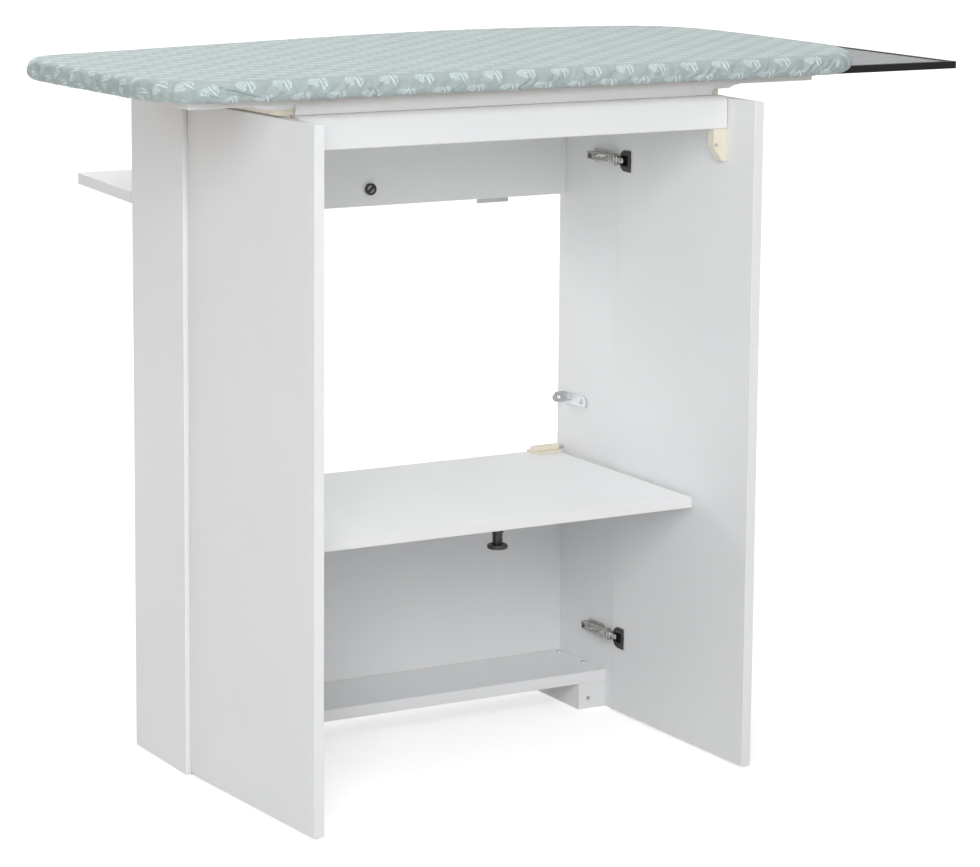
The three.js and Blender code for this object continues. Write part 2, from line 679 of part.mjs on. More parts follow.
const knuckleClear = rearKnuckleRadius + pivotClearance;
const knuckle = rearHingeWidth / 3;
for (const [label, side] of sides) {
  const middle = side * rearHingeX;
  const leafX = [middle - rearHingeWidth / 2, middle + rearHingeWidth / 2];
  const centre = [middle - knuckle / 2, middle + knuckle / 2];
  const ends = [[leafX[0], centre[0] - pivotClearance], [centre[1] + pivotClearance, leafX[1]]];

  const wallLeaf = slab('y', leafX, [carcassDepth, carcassDepth + rearLeafThickness],
    [rearAxisZ - rearLeafHeight, rearAxisZ], 0);
  const wallKnuckles = ends.map((x) => rod('x', rearKnuckleRadius, x, rearAxisY, rearAxisZ));
  const pin = rod('x', 1.2, [leafX[0] + 1, leafX[1] - 1], rearAxisY, rearAxisZ, 16);
  const clearance = rod('x', knuckleClear, inset(centre, -pivotClearance), rearAxisY, rearAxisZ);
  const wallSide = toSolid(join([wallLeaf, ...wallKnuckles])).subtract(toSolid(clearance)).add(toSolid(pin));
  piece(`rear_hinge_wall_${label}`, toGeometry(wallSide), zincSteel);

  const flapLeaf = slab('z', leafX, [knuckleClear, rearLeafHeight],
    [flapUnderside - rearLeafThickness, flapUnderside], 0);
  const web = slab('z', centre, [0, knuckleClear + 1], [flapUnderside - rearLeafThickness, flapUnderside], 0);
  const flapKnuckle = rod('x', rearKnuckleRadius, centre, 0, 0);
  const bore = rod('x', 1.2 + pivotClearance, inset(centre, -1), 0, 0, 16);
  piece(`rear_hinge_flap_${label}`, cut(join([flapLeaf, web, flapKnuckle]), [bore]), zincSteel, rearFlap);
}

// ---- origin at the middle of the footprint, on the floor --------------------

cabinet.updateMatrixWorld(true);
const box = new THREE.Box3().setFromObject(cabinet);
cabinet.position.set(-(box.min.x + box.max.x) / 2, -(box.min.y + box.max.y) / 2, -box.min.z);

export default cabinet;
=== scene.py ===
"""The mirrored ironing board cabinet: its board finishes, gathered cover, hinges, knob and fittings."""

import json
import math
import random

import bpy
import numpy as np
from mathutils import Matrix, Vector


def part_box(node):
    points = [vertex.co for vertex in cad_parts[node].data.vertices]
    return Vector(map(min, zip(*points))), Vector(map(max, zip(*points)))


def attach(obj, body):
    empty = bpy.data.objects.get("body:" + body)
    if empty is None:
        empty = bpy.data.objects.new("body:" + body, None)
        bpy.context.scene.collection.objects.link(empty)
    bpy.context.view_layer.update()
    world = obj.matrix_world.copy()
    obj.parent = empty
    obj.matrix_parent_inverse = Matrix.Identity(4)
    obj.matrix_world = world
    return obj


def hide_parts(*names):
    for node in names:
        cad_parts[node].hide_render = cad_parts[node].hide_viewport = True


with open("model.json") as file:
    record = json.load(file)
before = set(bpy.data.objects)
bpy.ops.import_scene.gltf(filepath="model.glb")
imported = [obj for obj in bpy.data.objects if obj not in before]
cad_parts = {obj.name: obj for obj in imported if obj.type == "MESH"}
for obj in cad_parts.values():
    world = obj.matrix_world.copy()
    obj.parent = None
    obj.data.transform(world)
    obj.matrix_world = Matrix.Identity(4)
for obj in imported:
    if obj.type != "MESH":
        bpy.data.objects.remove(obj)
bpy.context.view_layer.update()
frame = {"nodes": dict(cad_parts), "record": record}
bpy.ops.object.select_all(action="DESELECT")

MM = 0.001

# The carcass's middle, on its front plane, is what the places below are measured from.
LEFT_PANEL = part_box("side_panel_left")
RIGHT_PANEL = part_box("side_panel_right")
CARCASS = Vector(((LEFT_PANEL[0].x + RIGHT_PANEL[1].x) / 2, LEFT_PANEL[0].y, 0))

# Camera, where the photograph was taken from
CAMERA_PLACE = Vector((-2.1052, -3.8411, 1.3029))
CAMERA_YAW = -30.036
CAMERA_PITCH = -9.083
CAMERA_ROLL = 0.494
CAMERA_LENS = 123.2
CAMERA_RISE = -0.136

# Light
KEY_POWER = 90
REAR_POWER = 46
TOP_POWER = 44
LAMP_AIM = (-0.1, 0.0, 0.55)
SURROUND = 0.25

# Floor: its side, how much it is lifted by the object, and the ring where it runs out to white
FLOOR_SIDE = 60
FLOOR_LIFT = 0.48
FLOOR_NEAR = 1.0
FLOOR_FAR = 2.6

# Cover: its points round the rim, the lip under the board, the hem's roll and the shoulder
COVER_POINTS = 920
COVER_RECESS = 24 * MM
COVER_WALL = 9.8 * MM
COVER_HEM = 26 * MM
COVER_LIP = 0.7 * MM
COVER_FOOT = 5 * MM
COVER_ROLL = 11 * MM
COVER_SHOULDER = 9 * MM
COVER_SWELL = 1.2 * MM
COVER_CROWN = 0.45 * MM
COVER_SEED = 7

# Settling of the cover's cloth
COVER_FRAMES = 18
COVER_PRESSURE = 1.2
COVER_EASE = 0.05
COVER_CAP = 5 * MM

# The print on the cover: two grids of sprigs, each started at a share of its cell
SPRIG_PITCH = (48 * MM, 45 * MM)
SPRIG_STARTS = ((0, 0.09), (0.5, 0.59))
SAGE = (0.41, 0.485, 0.475)
SPRIG_WHITE = (0.76, 0.86, 0.895)


# ---------------------------------------------------------------- finishes

def new_finish(name, roughness, metallic=0.0):
    """A material with its shader's plain values set, and its node tree."""
    material = bpy.data.materials.new(name)
    material.use_nodes = True
    tree = material.node_tree
    shader = tree.nodes["Principled BSDF"]
    shader.inputs["Roughness"].default_value = roughness
    shader.inputs["Metallic"].default_value = metallic
    return material, tree, shader


def add(tree, kind, sockets=(), **settings):
    """A shader node with its settings, and its sockets set or wired."""
    node = tree.nodes.new("ShaderNode" + kind)
    for key, value in settings.items():
        setattr(node, key, value)
    for socket, value in dict(sockets).items():
        if isinstance(value, bpy.types.NodeSocket):
            tree.links.new(value, node.inputs[socket])
        else:
            node.inputs[socket].default_value = value
    return node


def worked(tree, operation, *values):
    """What a Math node makes of its values."""
    return add(tree, "Math", dict(enumerate(values)), operation=operation).outputs[0]


def object_place(tree, scale=(1, 1, 1), turn=(0, 0, 0)):
    """The place on the piece, stretched and turned for a grain."""
    coordinates = add(tree, "TexCoord")
    mapping = add(tree, "Mapping", {"Vector": coordinates.outputs["Object"], "Scale": scale, "Rotation": turn})
    return mapping.outputs["Vector"]


def noise(tree, place, scale, detail=3.0, rough=0.5):
    sockets = {"Vector": place, "Scale": scale, "Detail": detail, "Roughness": rough}
    return add(tree, "TexNoise", sockets).outputs["Fac"]


def between(tree, value, low, high, start=0.3, end=0.7):
    """The value spread from low to high."""
    sockets = {"Value": value, "From Min": start, "From Max": end, "To Min": low, "To Max": high}
    return add(tree, "MapRange", sockets).outputs["Result"]


# A Mix node's colour sockets, which share their names with its other kinds
MIX_A, MIX_B, MIX_RESULT = 6, 7, 2


def two_tones(tree, value, one, other):
    """A colour between two tones, by a value from 0 to 1."""
    mix = add(tree, "Mix", {0: value, MIX_A: (*one, 1), MIX_B: (*other, 1)}, data_type="RGBA")
    return mix.outputs[MIX_RESULT]


def bump(tree, shader, height, depth, strength=1.0):
    raised = add(tree, "Bump", {"Height": height, "Distance": depth, "Strength": strength})
    tree.links.new(raised.outputs["Normal"], shader.inputs["Normal"])
    return raised


def white_board():
    """White melamine on chipboard: a fine pearl grain and a hardly seen cloudiness."""
    material, tree, shader = new_finish("white_board", 0.42)
    place = object_place(tree)
    cloud = between(tree, noise(tree, place, 5.0, 2.0), 0, 1)
    tones = two_tones(tree, cloud, (0.865, 0.872, 0.88), (0.89, 0.896, 0.902))
    tree.links.new(tones, shader.inputs["Base Color"])
    pearl = noise(tree, place, 900.0, 2.0)
    tree.links.new(between(tree, pearl, 0.36, 0.48), shader.inputs["Roughness"])
    bump(tree, shader, pearl, 0.00006, 0.5)
    return material


def cream_plastic():
    """Injection-moulded cream plastic with a fine spark-eroded skin."""
    material, tree, shader = new_finish("cream_plastic", 0.45)
    place = object_place(tree)
    cloud = between(tree, noise(tree, place, 40.0, 2.0), 0, 1)
    tree.links.new(two_tones(tree, cloud, (0.82, 0.75, 0.62), (0.86, 0.80, 0.68)), shader.inputs["Base Color"])
    skin = noise(tree, place, 1600.0, 2.0)
    tree.links.new(between(tree, skin, 0.38, 0.52), shader.inputs["Roughness"])
    bump(tree, shader, skin, 0.00005, 0.6)
    return material


def brushed_metal(name, tones, rough, grain):
    """Plated or rolled metal with fine draw lines along one way."""
    material, tree, shader = new_finish(name, rough[0], 1.0)
    lines = noise(tree, object_place(tree, grain), 60.0, 4.0)
    tree.links.new(two_tones(tree, between(tree, lines, 0, 1), *tones), shader.inputs["Base Color"])
    tree.links.new(between(tree, lines, *rough), shader.inputs["Roughness"])
    bump(tree, shader, lines, 0.00003, 0.4)
    return material


def nickel():
    return brushed_metal("nickel", ((0.44, 0.43, 0.41), (0.56, 0.55, 0.53)), (0.2, 0.34), (20, 1.5, 20))


def zinc_steel():
    return brushed_metal("zinc_steel", ((0.50, 0.52, 0.53), (0.64, 0.66, 0.67)), (0.34, 0.5), (9, 9, 9))


def moulded(name, tones, rough):
    """Moulded plastic with an eroded skin."""
    material, tree, shader = new_finish(name, rough[0])
    place = object_place(tree)
    cloud = between(tree, noise(tree, place, 60.0, 2.0), 0, 1)
    tree.links.new(two_tones(tree, cloud, *tones), shader.inputs["Base Color"])
    skin = noise(tree, place, 1800.0, 2.0)
    tree.links.new(between(tree, skin, *rough), shader.inputs["Roughness"])
    bump(tree, shader, skin, 0.00005, 0.7)
    return material


def black_plastic():
    return moulded("black_plastic", ((0.018, 0.018, 0.018), (0.030, 0.031, 0.030)), (0.34, 0.5))


def grey_plastic():
    return moulded("grey_plastic", ((0.46, 0.46, 0.45), (0.52, 0.52, 0.51)), (0.34, 0.5))


def black_frame():
    """Black foil on the mirror's frame, drawn along its length."""
    material, tree, shader = new_finish("black_frame", 0.42)
    shader.inputs["Specular IOR Level"].default_value = 0.12
    lines = noise(tree, object_place(tree, (4, 60, 60)), 30.0, 4.0)
    tones = two_tones(tree, between(tree, lines, 0, 1), (0.012, 0.011, 0.012), (0.022, 0.020, 0.022))
    tree.links.new(tones, shader.inputs["Base Color"])
    tree.links.new(between(tree, lines, 0.34, 0.5), shader.inputs["Roughness"])
    bump(tree, shader, lines, 0.00004, 0.5)
    return material


def mirror_glass():
    """Silvered glass, a little green, with faint wiping marks."""
    material, tree, shader = new_finish("mirror_glass", 0.015, 1.0)
    wipes = noise(tree, object_place(tree, (2, 7, 2), (0, 0, 0.5)), 6.0, 4.0)
    tones = two_tones(tree, between(tree, wipes, 0, 1), (0.83, 0.87, 0.86), (0.87, 0.90, 0.895))
    tree.links.new(tones, shader.inputs["Base Color"])
    tree.links.new(between(tree, wipes, 0.008, 0.03), shader.inputs["Roughness"])
    return material


def mirror_backing():
    """The grey safety film on the back of the mirror, with soft light streaks of painted reflection in its
    colour.
    """
    material, tree, shader = new_finish("mirror_backing", 0.3)
    shader.inputs["Specular IOR Level"].default_value = 0.2
    painted_reflection_streaks = noise(tree, object_place(tree, (1.2, 14, 1)), 9.0, 4.0)
    # The two tones paint reflection streaks into the film's grey; the same streaks also vary its roughness and
    # bumps.
    tones = two_tones(tree, between(tree, painted_reflection_streaks, 0, 1), (0.115, 0.13, 0.135), (0.165, 0.18, 0.185))
    tree.links.new(tones, shader.inputs["Base Color"])
    tree.links.new(between(tree, painted_reflection_streaks, 0.22, 0.36), shader.inputs["Roughness"])
    bump(tree, shader, painted_reflection_streaks, 0.00008, 0.4)
    return material


def raw_board():
    """Raw fibreboard under the padding."""
    material, tree, shader = new_finish("raw_board", 0.85)
    fibres = noise(tree, object_place(tree, (30, 90, 90)), 12.0, 5.0)
    tones = two_tones(tree, between(tree, fibres, 0, 1), (0.30, 0.21, 0.13), (0.43, 0.32, 0.21))
    tree.links.new(tones, shader.inputs["Base Color"])
    bump(tree, shader, fibres, 0.0002, 0.6)
    return material


def cell_place(tree, unfolded, start):
    """The place in a cell of the print, in millimetres from the cell's middle."""
    apart = add(tree, "SeparateXYZ", {"Vector": unfolded})
    lengths = []
    for axis, pitch, first in zip("XY", SPRIG_PITCH, start):
        cells = worked(tree, "MULTIPLY_ADD", apart.outputs[axis], 1 / pitch, first)
        share = worked(tree, "FRACT", cells)
        lengths.append(worked(tree, "MULTIPLY_ADD", share, pitch / MM, -pitch / MM / 2))
    return add(tree, "CombineXYZ", {"X": lengths[0], "Y": lengths[1]}).outputs["Vector"]


# One sprig of the print, in millimetres: each oval's middle, half length, half width and turn
SPRIG_LEAVES = (
    (5.2, -0.8, 10.4, 1.15, 111),
    (11.2, -3.4, 2.8, 0.9, 62),
)
SPRIG_HEADS = (
    (-5.8, 2.6, 7.6, 5.2, 12),
    (-4.0, -1.6, 5.6, 3.4, 140),
    (9.6, 3.4, 6.0, 2.9, 112),
)


def printed_shapes(tree, cells, shapes):
    """1 inside any of the ovals of any of the cells, 0 outside."""
    printed = None
    for cell in cells:
        for x, y, long_half, wide_half, turn in shapes:
            sockets = {
                "Vector": cell, "Location": (x, y, 0), "Rotation": (0, 0, math.radians(turn)),
                "Scale": (long_half, wide_half, 1),
            }
            oval = add(tree, "Mapping", sockets, vector_type="TEXTURE")
            reach = add(tree, "VectorMath", {0: oval.outputs["Vector"]}, operation="LENGTH").outputs["Value"]
            inside = between(tree, reach, 1, 0, 0.86, 1.08)
            printed = inside if printed is None else worked(tree, "MAXIMUM", printed, inside)
    return printed


def sage_fabric():
    """Sage cotton with a printed white sprig, a plain weave and a soft sheen."""
    material, tree, shader = new_finish("sage_fabric", 0.72)
    unfolded = add(tree, "UVMap", uv_map="unfolded").outputs["UV"]
    cells = [cell_place(tree, unfolded, start) for start in SPRIG_STARTS]
    leaves = printed_shapes(tree, cells, SPRIG_LEAVES)
    florets = between(tree, noise(tree, unfolded, 640.0, 1.0), 0.12, 1.0, 0.44, 0.6)
    heads = worked(tree, "MULTIPLY", printed_shapes(tree, cells, SPRIG_HEADS), florets)
    printed = worked(tree, "MAXIMUM", leaves, heads)
    worn = between(tree, noise(tree, unfolded, 420.0, 3.0), 0.62, 1.0)
    ink = worked(tree, "MULTIPLY", printed, worn)
    dark, pale = [tuple(part * tone for part in SAGE) for tone in (0.95, 1.05)]
    cloth = two_tones(tree, between(tree, noise(tree, unfolded, 14.0, 3.0), 0, 1), dark, pale)
    mix = add(tree, "Mix", {0: ink, MIX_A: cloth, MIX_B: (*SPRIG_WHITE, 1)}, data_type="RGBA")
    tree.links.new(mix.outputs[MIX_RESULT], shader.inputs["Base Color"])
    thread = {"Vector": unfolded, "Scale": 320.0, "Distortion": 1.5, "Detail": 1.0}
    warp, weft = [add(tree, "TexWave", thread, bands_direction=way).outputs["Fac"] for way in "XY"]
    weave = worked(tree, "MULTIPLY", warp, weft)
    bump(tree, shader, weave, 0.00012, 0.35)
    shader.inputs["Sheen Weight"].default_value = 0.06
    shader.inputs["Sheen Roughness"].default_value = 0.4
    return material


FINISHES = {
    make.__name__: make()
    for make in (
        white_board, cream_plastic, nickel, zinc_steel, black_plastic, grey_plastic,
        black_frame, mirror_glass, mirror_backing, raw_board, sage_fabric,
    )
}


def finish_frame():
    """Each node of the model takes the finish of its slot."""
    for row in frame["record"]["subparts"]:
        node = frame["nodes"][row["node"]]
        node.data.materials.clear()
        node.data.materials.append(FINISHES[row["material_slot"]])


def put(piece, body, finish, *nodes):
    """A finished piece: its material, what it rides on and what it stands for."""
    piece.data.materials.clear()
    piece.data.materials.append(FINISHES[finish])
    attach(piece, body)
    if nodes:
        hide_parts(*nodes)
    return piece


# ---------------------------------------------------------------- the gathered cover

def even_line(points, count):
    """An open line resampled to evenly spaced points, without its last one."""
    steps = np.linalg.norm(np.diff(points, axis=0), axis=1)
    along = np.concatenate([[0], np.cumsum(steps)])
    wanted = np.linspace(0, along[-1], count, endpoint=False)
    return np.stack([np.interp(wanted, along, points[:, i]) for i in range(2)], axis=1)


def board_outline():
    """The padded board's plan from its node, counter-clockwise from its left tip, with outward normals."""
    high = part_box("board_pad")[1]
    corners = np.array([v.co for v in frame["nodes"]["board_pad"].data.vertices])
    side = (corners[:, 2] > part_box("base_board")[1].z + 0.6 * MM) & (corners[:, 2] < high.z - 4 * MM)
    rim = np.unique(corners[side][:, :2].round(6), axis=0)
    middle = (rim.min(0) + rim.max(0)) / 2
    rim = rim[np.argsort(np.arctan2(rim[:, 1] - middle[1], rim[:, 0] - middle[0]))]
    rim = np.roll(rim, -np.argmin(rim[:, 0]), 0)
    right = np.argmax(rim[:, 0])
    half = COVER_POINTS // 2
    outline = np.vstack([even_line(rim[:right + 1], half), even_line(np.vstack([rim[right:], rim[:1]]), half)])
    for _ in range(10):
        outline = (np.roll(outline, 1, 0) + 2 * outline + np.roll(outline, -1, 0)) / 4
    tangent = np.roll(outline, -1, 0) - np.roll(outline, 1, 0)
    tangent /= np.linalg.norm(tangent, axis=1)[:, None]
    return outline, np.stack([tangent[:, 1], -tangent[:, 0]], axis=1)


def ease(value, start, end):
    share = np.clip((value - start) / (end - start), 0, 1)
    return share * share * (3 - 2 * share)


def crease(distance, width):
    """A fold across itself: a narrow valley between two soft ridges, one deep."""
    across = np.abs(distance) / width
    return 0.5 * np.exp(-((across - 1.8) ** 2) / 0.9) - np.exp(-(across ** 2) / 0.7)


# The creases drawn on the near side, in millimetres from the carcass's middle: where each starts
# at the hem and ends above, the two heights, its half width and its depth
NEAR_CREASES = (
    (-347, -452, 909, 931, 4.2, 7.0),
    (-408, -440, 907, 920, 3.4, 3.4),
    (-268, -296, 905, 918, 3.8, 2.4),
    (-203, -216, 902, 916, 4.2, 4.6),
    (-188, -160, 903, 912, 3.4, 2.4),
    (-96, -118, 905, 915, 3.6, 2.2),
    (-8, 4, 906, 917, 3.6, 4.0),
    (96, 112, 907, 915, 3.6, 2.2),
    (176, 168, 907, 916, 3.4, 2.4),
    (263, 276, 907, 922, 3.4, 3.4),
    (338, 350, 907, 918, 3.2, 2.2),
    (421, 436, 907, 923, 3.2, 3.6),
    (444, 464, 907, 925, 3.0, 3.2),
    (472, 488, 908, 926, 3.0, 3.2),
)


def gathers(outline, normal):
    """The puckers that the drawn cord leaves round the hem.

    Each has its place along the rim, its lean, half width, depth and the height that it reaches."""
    draw = random.Random(COVER_SEED)
    around = np.concatenate([[0], np.cumsum(np.linalg.norm(np.diff(outline, axis=0), axis=1))])
    whole = around[-1] + np.linalg.norm(outline[0] - outline[-1])
    bend = np.linalg.norm(np.roll(normal, -9, 0) - np.roll(normal, 9, 0), axis=1)
    folds = []
    place = 6 * MM
    while place < whole:
        tight = min(1.0, bend[np.searchsorted(around, place) % len(outline)] / 0.45)
        lean = draw.uniform(-20, 20) * MM * (1 - 0.8 * tight)
        width = draw.uniform(3.4, 5.6) * MM
        depth = draw.uniform(0.6, 2.2 - 0.6 * tight) * MM
        folds.append((place, lean, width, depth, draw.uniform(0.3, 0.6 + 0.4 * tight)))
        place += (draw.uniform(22, 52) * (1 - tight) + draw.uniform(16, 38) * tight) * MM
    return around, whole, folds


def side_folds(outline, normal, share, height):
    """How far the side's cloth stands out at a height, all round: gathers, creases and a slow wander."""
    around, whole, folds = gathers(outline, normal)
    push = 0.7 * MM * np.sin(around * 21 + 3 * share) * np.sin(around * 7.3 + 1.1)
    for place, lean, width, depth, reach in folds:
        distance = (around - place - lean * (share - 0.2) + whole / 2) % whole - whole / 2
        strength = depth * float(1 - ease(share, reach * 0.4, reach))
        push = push + strength * crease(distance, width * (0.8 + 0.5 * share))
    near = normal[:, 1] < -0.9
    for start, end, foot, head, width, depth in NEAR_CREASES:
        rise = (height / MM - foot) / (head - foot)
        strength = float(1 - ease(rise, 0.75, 1.25)) * float(ease(rise, -0.6, 0.05))
        centre = CARCASS.x + (start + (end - start) * min(max(rise, 0), 1.2)) * MM
        push = push + near * depth * MM * strength * crease(outline[:, 0] - centre, width * MM)
    return push


def hem_height(outline, normal):
    """The hem hangs lower towards the nose and is drawn up towards the right end."""
    away = (outline[:, 0] - CARCASS.x) / MM
    return (907.0 + 0.8 * ease(away, -230, 60)) * MM + 0.5 * MM * np.sin(away / 47) * np.sin(away / 19 + 2)


def cover_rings():
    """Rings of the cover from inside its recess, round the hem and up the side to the shoulder.

    Each has its points, how far the cloth has run from the shoulder's edge and how free it is to settle."""
    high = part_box("board_pad")[1]
    base_low, base_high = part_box("base_board")
    outline, normal = board_outline()
    ceiling, rim = base_high.z + 0.15 * MM, base_low.z - 0.1 * MM
    under = base_low.z - COVER_LIP
    hem = hem_height(outline, normal)
    rings = []

    def ring(offset, height, run, free):
        place = outline + normal * (np.zeros(COVER_POINTS) + offset)[:, None]
        rings.append((np.column_stack([place, np.zeros(COVER_POINTS) + height]), run, free))

    tuck = side_folds(outline, normal, 0.0, hem.mean())
    for offset, height in ((-COVER_RECESS, ceiling), (-COVER_WALL, ceiling), (-COVER_WALL, rim)):
        ring(offset, height, -60 * MM, 0)
    ring(-COVER_HEM, rim, -58 * MM, 0)
    ring(-COVER_HEM, under, -57 * MM, 0)
    ring(-COVER_HEM + 5 * MM, under - 0.2 * tuck, -52 * MM, 0)
    ring(-COVER_HEM + 10 * MM, under - 0.4 * tuck, -47 * MM, 0)
    foot = hem + COVER_FOOT
    dip = np.maximum(0, under - hem)
    for step in (0.12, 0.32, 0.52, 0.72, 0.88):
        turn = step * math.pi / 2
        offset = -COVER_ROLL * (1 - math.sin(turn)) + tuck * step
        height = under + (foot - under) * (1 - math.cos(turn))
        height = height - dip * math.sin(math.pi * step) - 0.5 * tuck * (1 - step)
        ring(offset, height, (-42 + 12 * step) * MM, 0.5)
    rise = high.z - COVER_SHOULDER - foot
    for step in (0.0, 0.14, 0.28, 0.42, 0.56, 0.7, 0.85, 1.0):
        height = foot + rise * step
        share = 0.15 + 0.75 * step
        swell = COVER_SWELL * math.sin(math.pi * min(1, 0.15 + step * 0.8))
        ring(swell + side_folds(outline, normal, share, height.mean()), height, (-29 + 14.5 * step) * MM, 1)
    for turn in (18, 36, 54, 72, 90):
        angle = math.radians(turn)
        soft = side_folds(outline, normal, 0.9 + turn / 900, high.z) * math.cos(angle)
        offset = -COVER_SHOULDER * (1 - math.cos(angle)) + soft
        height = high.z - COVER_SHOULDER * (1 - math.sin(angle))
        ring(offset, height, -14.2 * MM * (1 - turn / 90), 1 - turn / 120)
    return outline, normal, rings


def inner_rings(outline, normal, offset, shares):
    """Flat rings from an offset of the rim in to the board's long middle line."""
    first = outline + normal * offset
    partner = np.roll(first[::-1], 1, 0)
    middle = (first + partner) / 2
    middle[:, 0] = np.clip(middle[:, 0], outline[:, 0].min() + 0.16, outline[:, 0].max() - 0.16)
    return [first + (middle - first) * share for share in shares]


def padding(place):
    """The slow rise and fall of the padding under the cloth."""
    x, y = place[:, 0], place[:, 1]
    slow = np.sin(x * 17 + 2 * np.sin(y * 9)) * np.sin(y * 23 + 1.3)
    return COVER_CROWN * (slow + 0.6 * np.sin(x * 41 + y * 33 + 0.7))


def zipper(start, count, upwards):
    """Faces that close a ring's two halves onto each other."""
    faces = []
    for i in range(count // 2):
        corners = [i, i + 1, count - i - 1, (count - i) % count]
        corners = [start + corner for corner in dict.fromkeys(corners)]
        faces.append(tuple(corners if upwards else corners[::-1]))
    return faces


def cover_mesh():
    """The cover as one closed skin, with the unfolded cloth as its UV map, and how each point is held."""
    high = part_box("board_pad")[1]
    outline, normal, section = cover_rings()
    rings, unfolded, held = [], [], []
    for flat in inner_rings(outline, normal, -COVER_RECESS, (0.85, 0.4)):
        rings.append(np.column_stack([flat, np.full(COVER_POINTS, section[0][0][0, 2])]))
        unfolded.append(flat)
        held.append(1)
    for points, run, free in section:
        rings.append(points)
        unfolded.append(outline - normal * (COVER_SHOULDER + run))
        held.append(1 - free)
    for flat in inner_rings(outline, normal, -COVER_SHOULDER, (0.03, 0.08, 0.15, 0.27, 0.42, 0.6, 0.8, 0.94)):
        from_edge = np.linalg.norm(flat - (outline - normal * COVER_SHOULDER), axis=1)
        rings.append(np.column_stack([flat, high.z + padding(flat) * ease(from_edge, 0, 0.05)]))
        unfolded.append(flat)
        held.append(1)
    count = COVER_POINTS
    faces = zipper(0, count, False)
    for r in range(len(rings) - 1):
        for i in range(count):
            j = (i + 1) % count
            faces.append((r * count + i, r * count + j, (r + 1) * count + j, (r + 1) * count + i))
    faces += zipper((len(rings) - 1) * count, count, True)
    mesh = bpy.data.meshes.new("board_cover")
    mesh.from_pydata(np.vstack(rings).tolist(), [], faces)
    layer = mesh.uv_layers.new(name="unfolded")
    flat = np.vstack(unfolded)
    corner_points = np.empty(len(mesh.loops), dtype=np.int32)
    mesh.loops.foreach_get("vertex_index", corner_points)
    layer.data.foreach_set("uv", flat[corner_points].ravel())
    return mesh, np.repeat(held, count)


def settle(cover, held):
    """The cloth of the side and the shoulder buckles into its own small wrinkles, with the rest held still."""
    scene = bpy.context.scene
    group = cover.vertex_groups.new(name="held")
    for point in np.nonzero(held > 0)[0]:
        group.add([int(point)], float(held[point]), "REPLACE")
    before = np.empty(len(cover.data.vertices) * 3)
    cover.data.vertices.foreach_get("co", before)
    cloth = cover.modifiers.new("settle", "CLOTH")
    cloth.settings.vertex_group_mass = "held"
    cloth.settings.quality = 5
    cloth.settings.mass = 0.3
    cloth.settings.tension_stiffness = 15
    cloth.settings.compression_stiffness = 15
    cloth.settings.shear_stiffness = 5
    cloth.settings.bending_stiffness = 0.05
    cloth.settings.shrink_min = -COVER_EASE
    cloth.settings.use_pressure = True
    cloth.settings.uniform_pressure_force = COVER_PRESSURE
    cloth.settings.effector_weights.gravity = 0
    cloth.collision_settings.use_collision = False
    cloth.point_cache.frame_start = 1
    cloth.point_cache.frame_end = COVER_FRAMES
    for frame_number in range(1, COVER_FRAMES + 1):
        scene.frame_set(frame_number)
    settled = cover.evaluated_get(bpy.context.evaluated_depsgraph_get())
    after = np.empty(len(before))
    settled.data.vertices.foreach_get("co", after)
    cover.modifiers.remove(cloth)
    cover.vertex_groups.clear()
    moved = (after - before).reshape(-1, 3)
    length = np.linalg.norm(moved, axis=1)
    moved *= (np.minimum(1, COVER_CAP / np.maximum(length, 1e-9)) * (held < 1))[:, None]
    cover.data.vertices.foreach_set("co", before + moved.ravel())
    scene.frame_set(1)


def make_cover():
    mesh, held = cover_mesh()
    cover = bpy.data.objects.new("board_cover", mesh)
    bpy.context.scene.collection.objects.link(cover)
    settle(cover, held)
    smooth = cover.modifiers.new("soften", "SUBSURF")
    smooth.levels = 1
    smooth.render_levels = 1
    bpy.context.view_layer.objects.active = cover
    bpy.ops.object.modifier_apply(modifier=smooth.name)
    for polygon in cover.data.polygons:
        polygon.use_smooth = True
    put(cover, "top", "sage_fabric", "board_pad")
    return cover


# ---------------------------------------------------------------- shaping

def only(piece):
    bpy.ops.object.select_all(action="DESELECT")
    piece.select_set(True)
    bpy.context.view_layer.objects.active = piece


def placed(name):
    """The new primitive, named, with its place and size taken into its mesh."""
    piece = bpy.context.object
    piece.name = name
    bpy.ops.object.transform_apply(location=True, rotation=True, scale=True)
    return piece


def block(name, one, other):
    """A box between two corners."""
    low = Vector([min(pair) for pair in zip(one, other)])
    high = Vector([max(pair) for pair in zip(one, other)])
    bpy.ops.object.select_all(action="DESELECT")
    bpy.ops.mesh.primitive_cube_add(
        size=1, location=(low + high) / 2, scale=high - low, calc_uvs=False
    )
    return placed(name)


def rod(name, start, end, radius, sides=40):
    way = Vector(end) - Vector(start)
    bpy.ops.object.select_all(action="DESELECT")
    bpy.ops.mesh.primitive_cylinder_add(
        vertices=sides, radius=radius, depth=way.length, location=(Vector(start) + Vector(end)) / 2,
        rotation=way.to_track_quat("Z", "Y").to_euler(), calc_uvs=False,
    )
    return placed(name)


def shape(piece, choose, *steps):
    """Edit mode on the faces chosen by their middle and normal; each step is an operator and its settings."""
    only(piece)
    bpy.ops.object.mode_set(mode="EDIT")
    bpy.ops.mesh.select_mode(type="FACE")
    bpy.ops.mesh.select_all(action="DESELECT")
    bpy.ops.object.mode_set(mode="OBJECT")
    for face in piece.data.polygons:
        face.select = choose(face.center, face.normal)
    bpy.ops.object.mode_set(mode="EDIT")
    for operator, settings in steps:
        operator(**settings)
    bpy.ops.object.mode_set(mode="OBJECT")
    return piece


def carved(piece, *tools):
    for tool in tools:
        only(piece)
        cut = piece.modifiers.new("cut", "BOOLEAN")
        cut.operation = "DIFFERENCE"
        cut.solver = "EXACT"
        cut.object = tool
        bpy.ops.object.modifier_apply(modifier=cut.name)
        bpy.data.objects.remove(tool)
    return piece


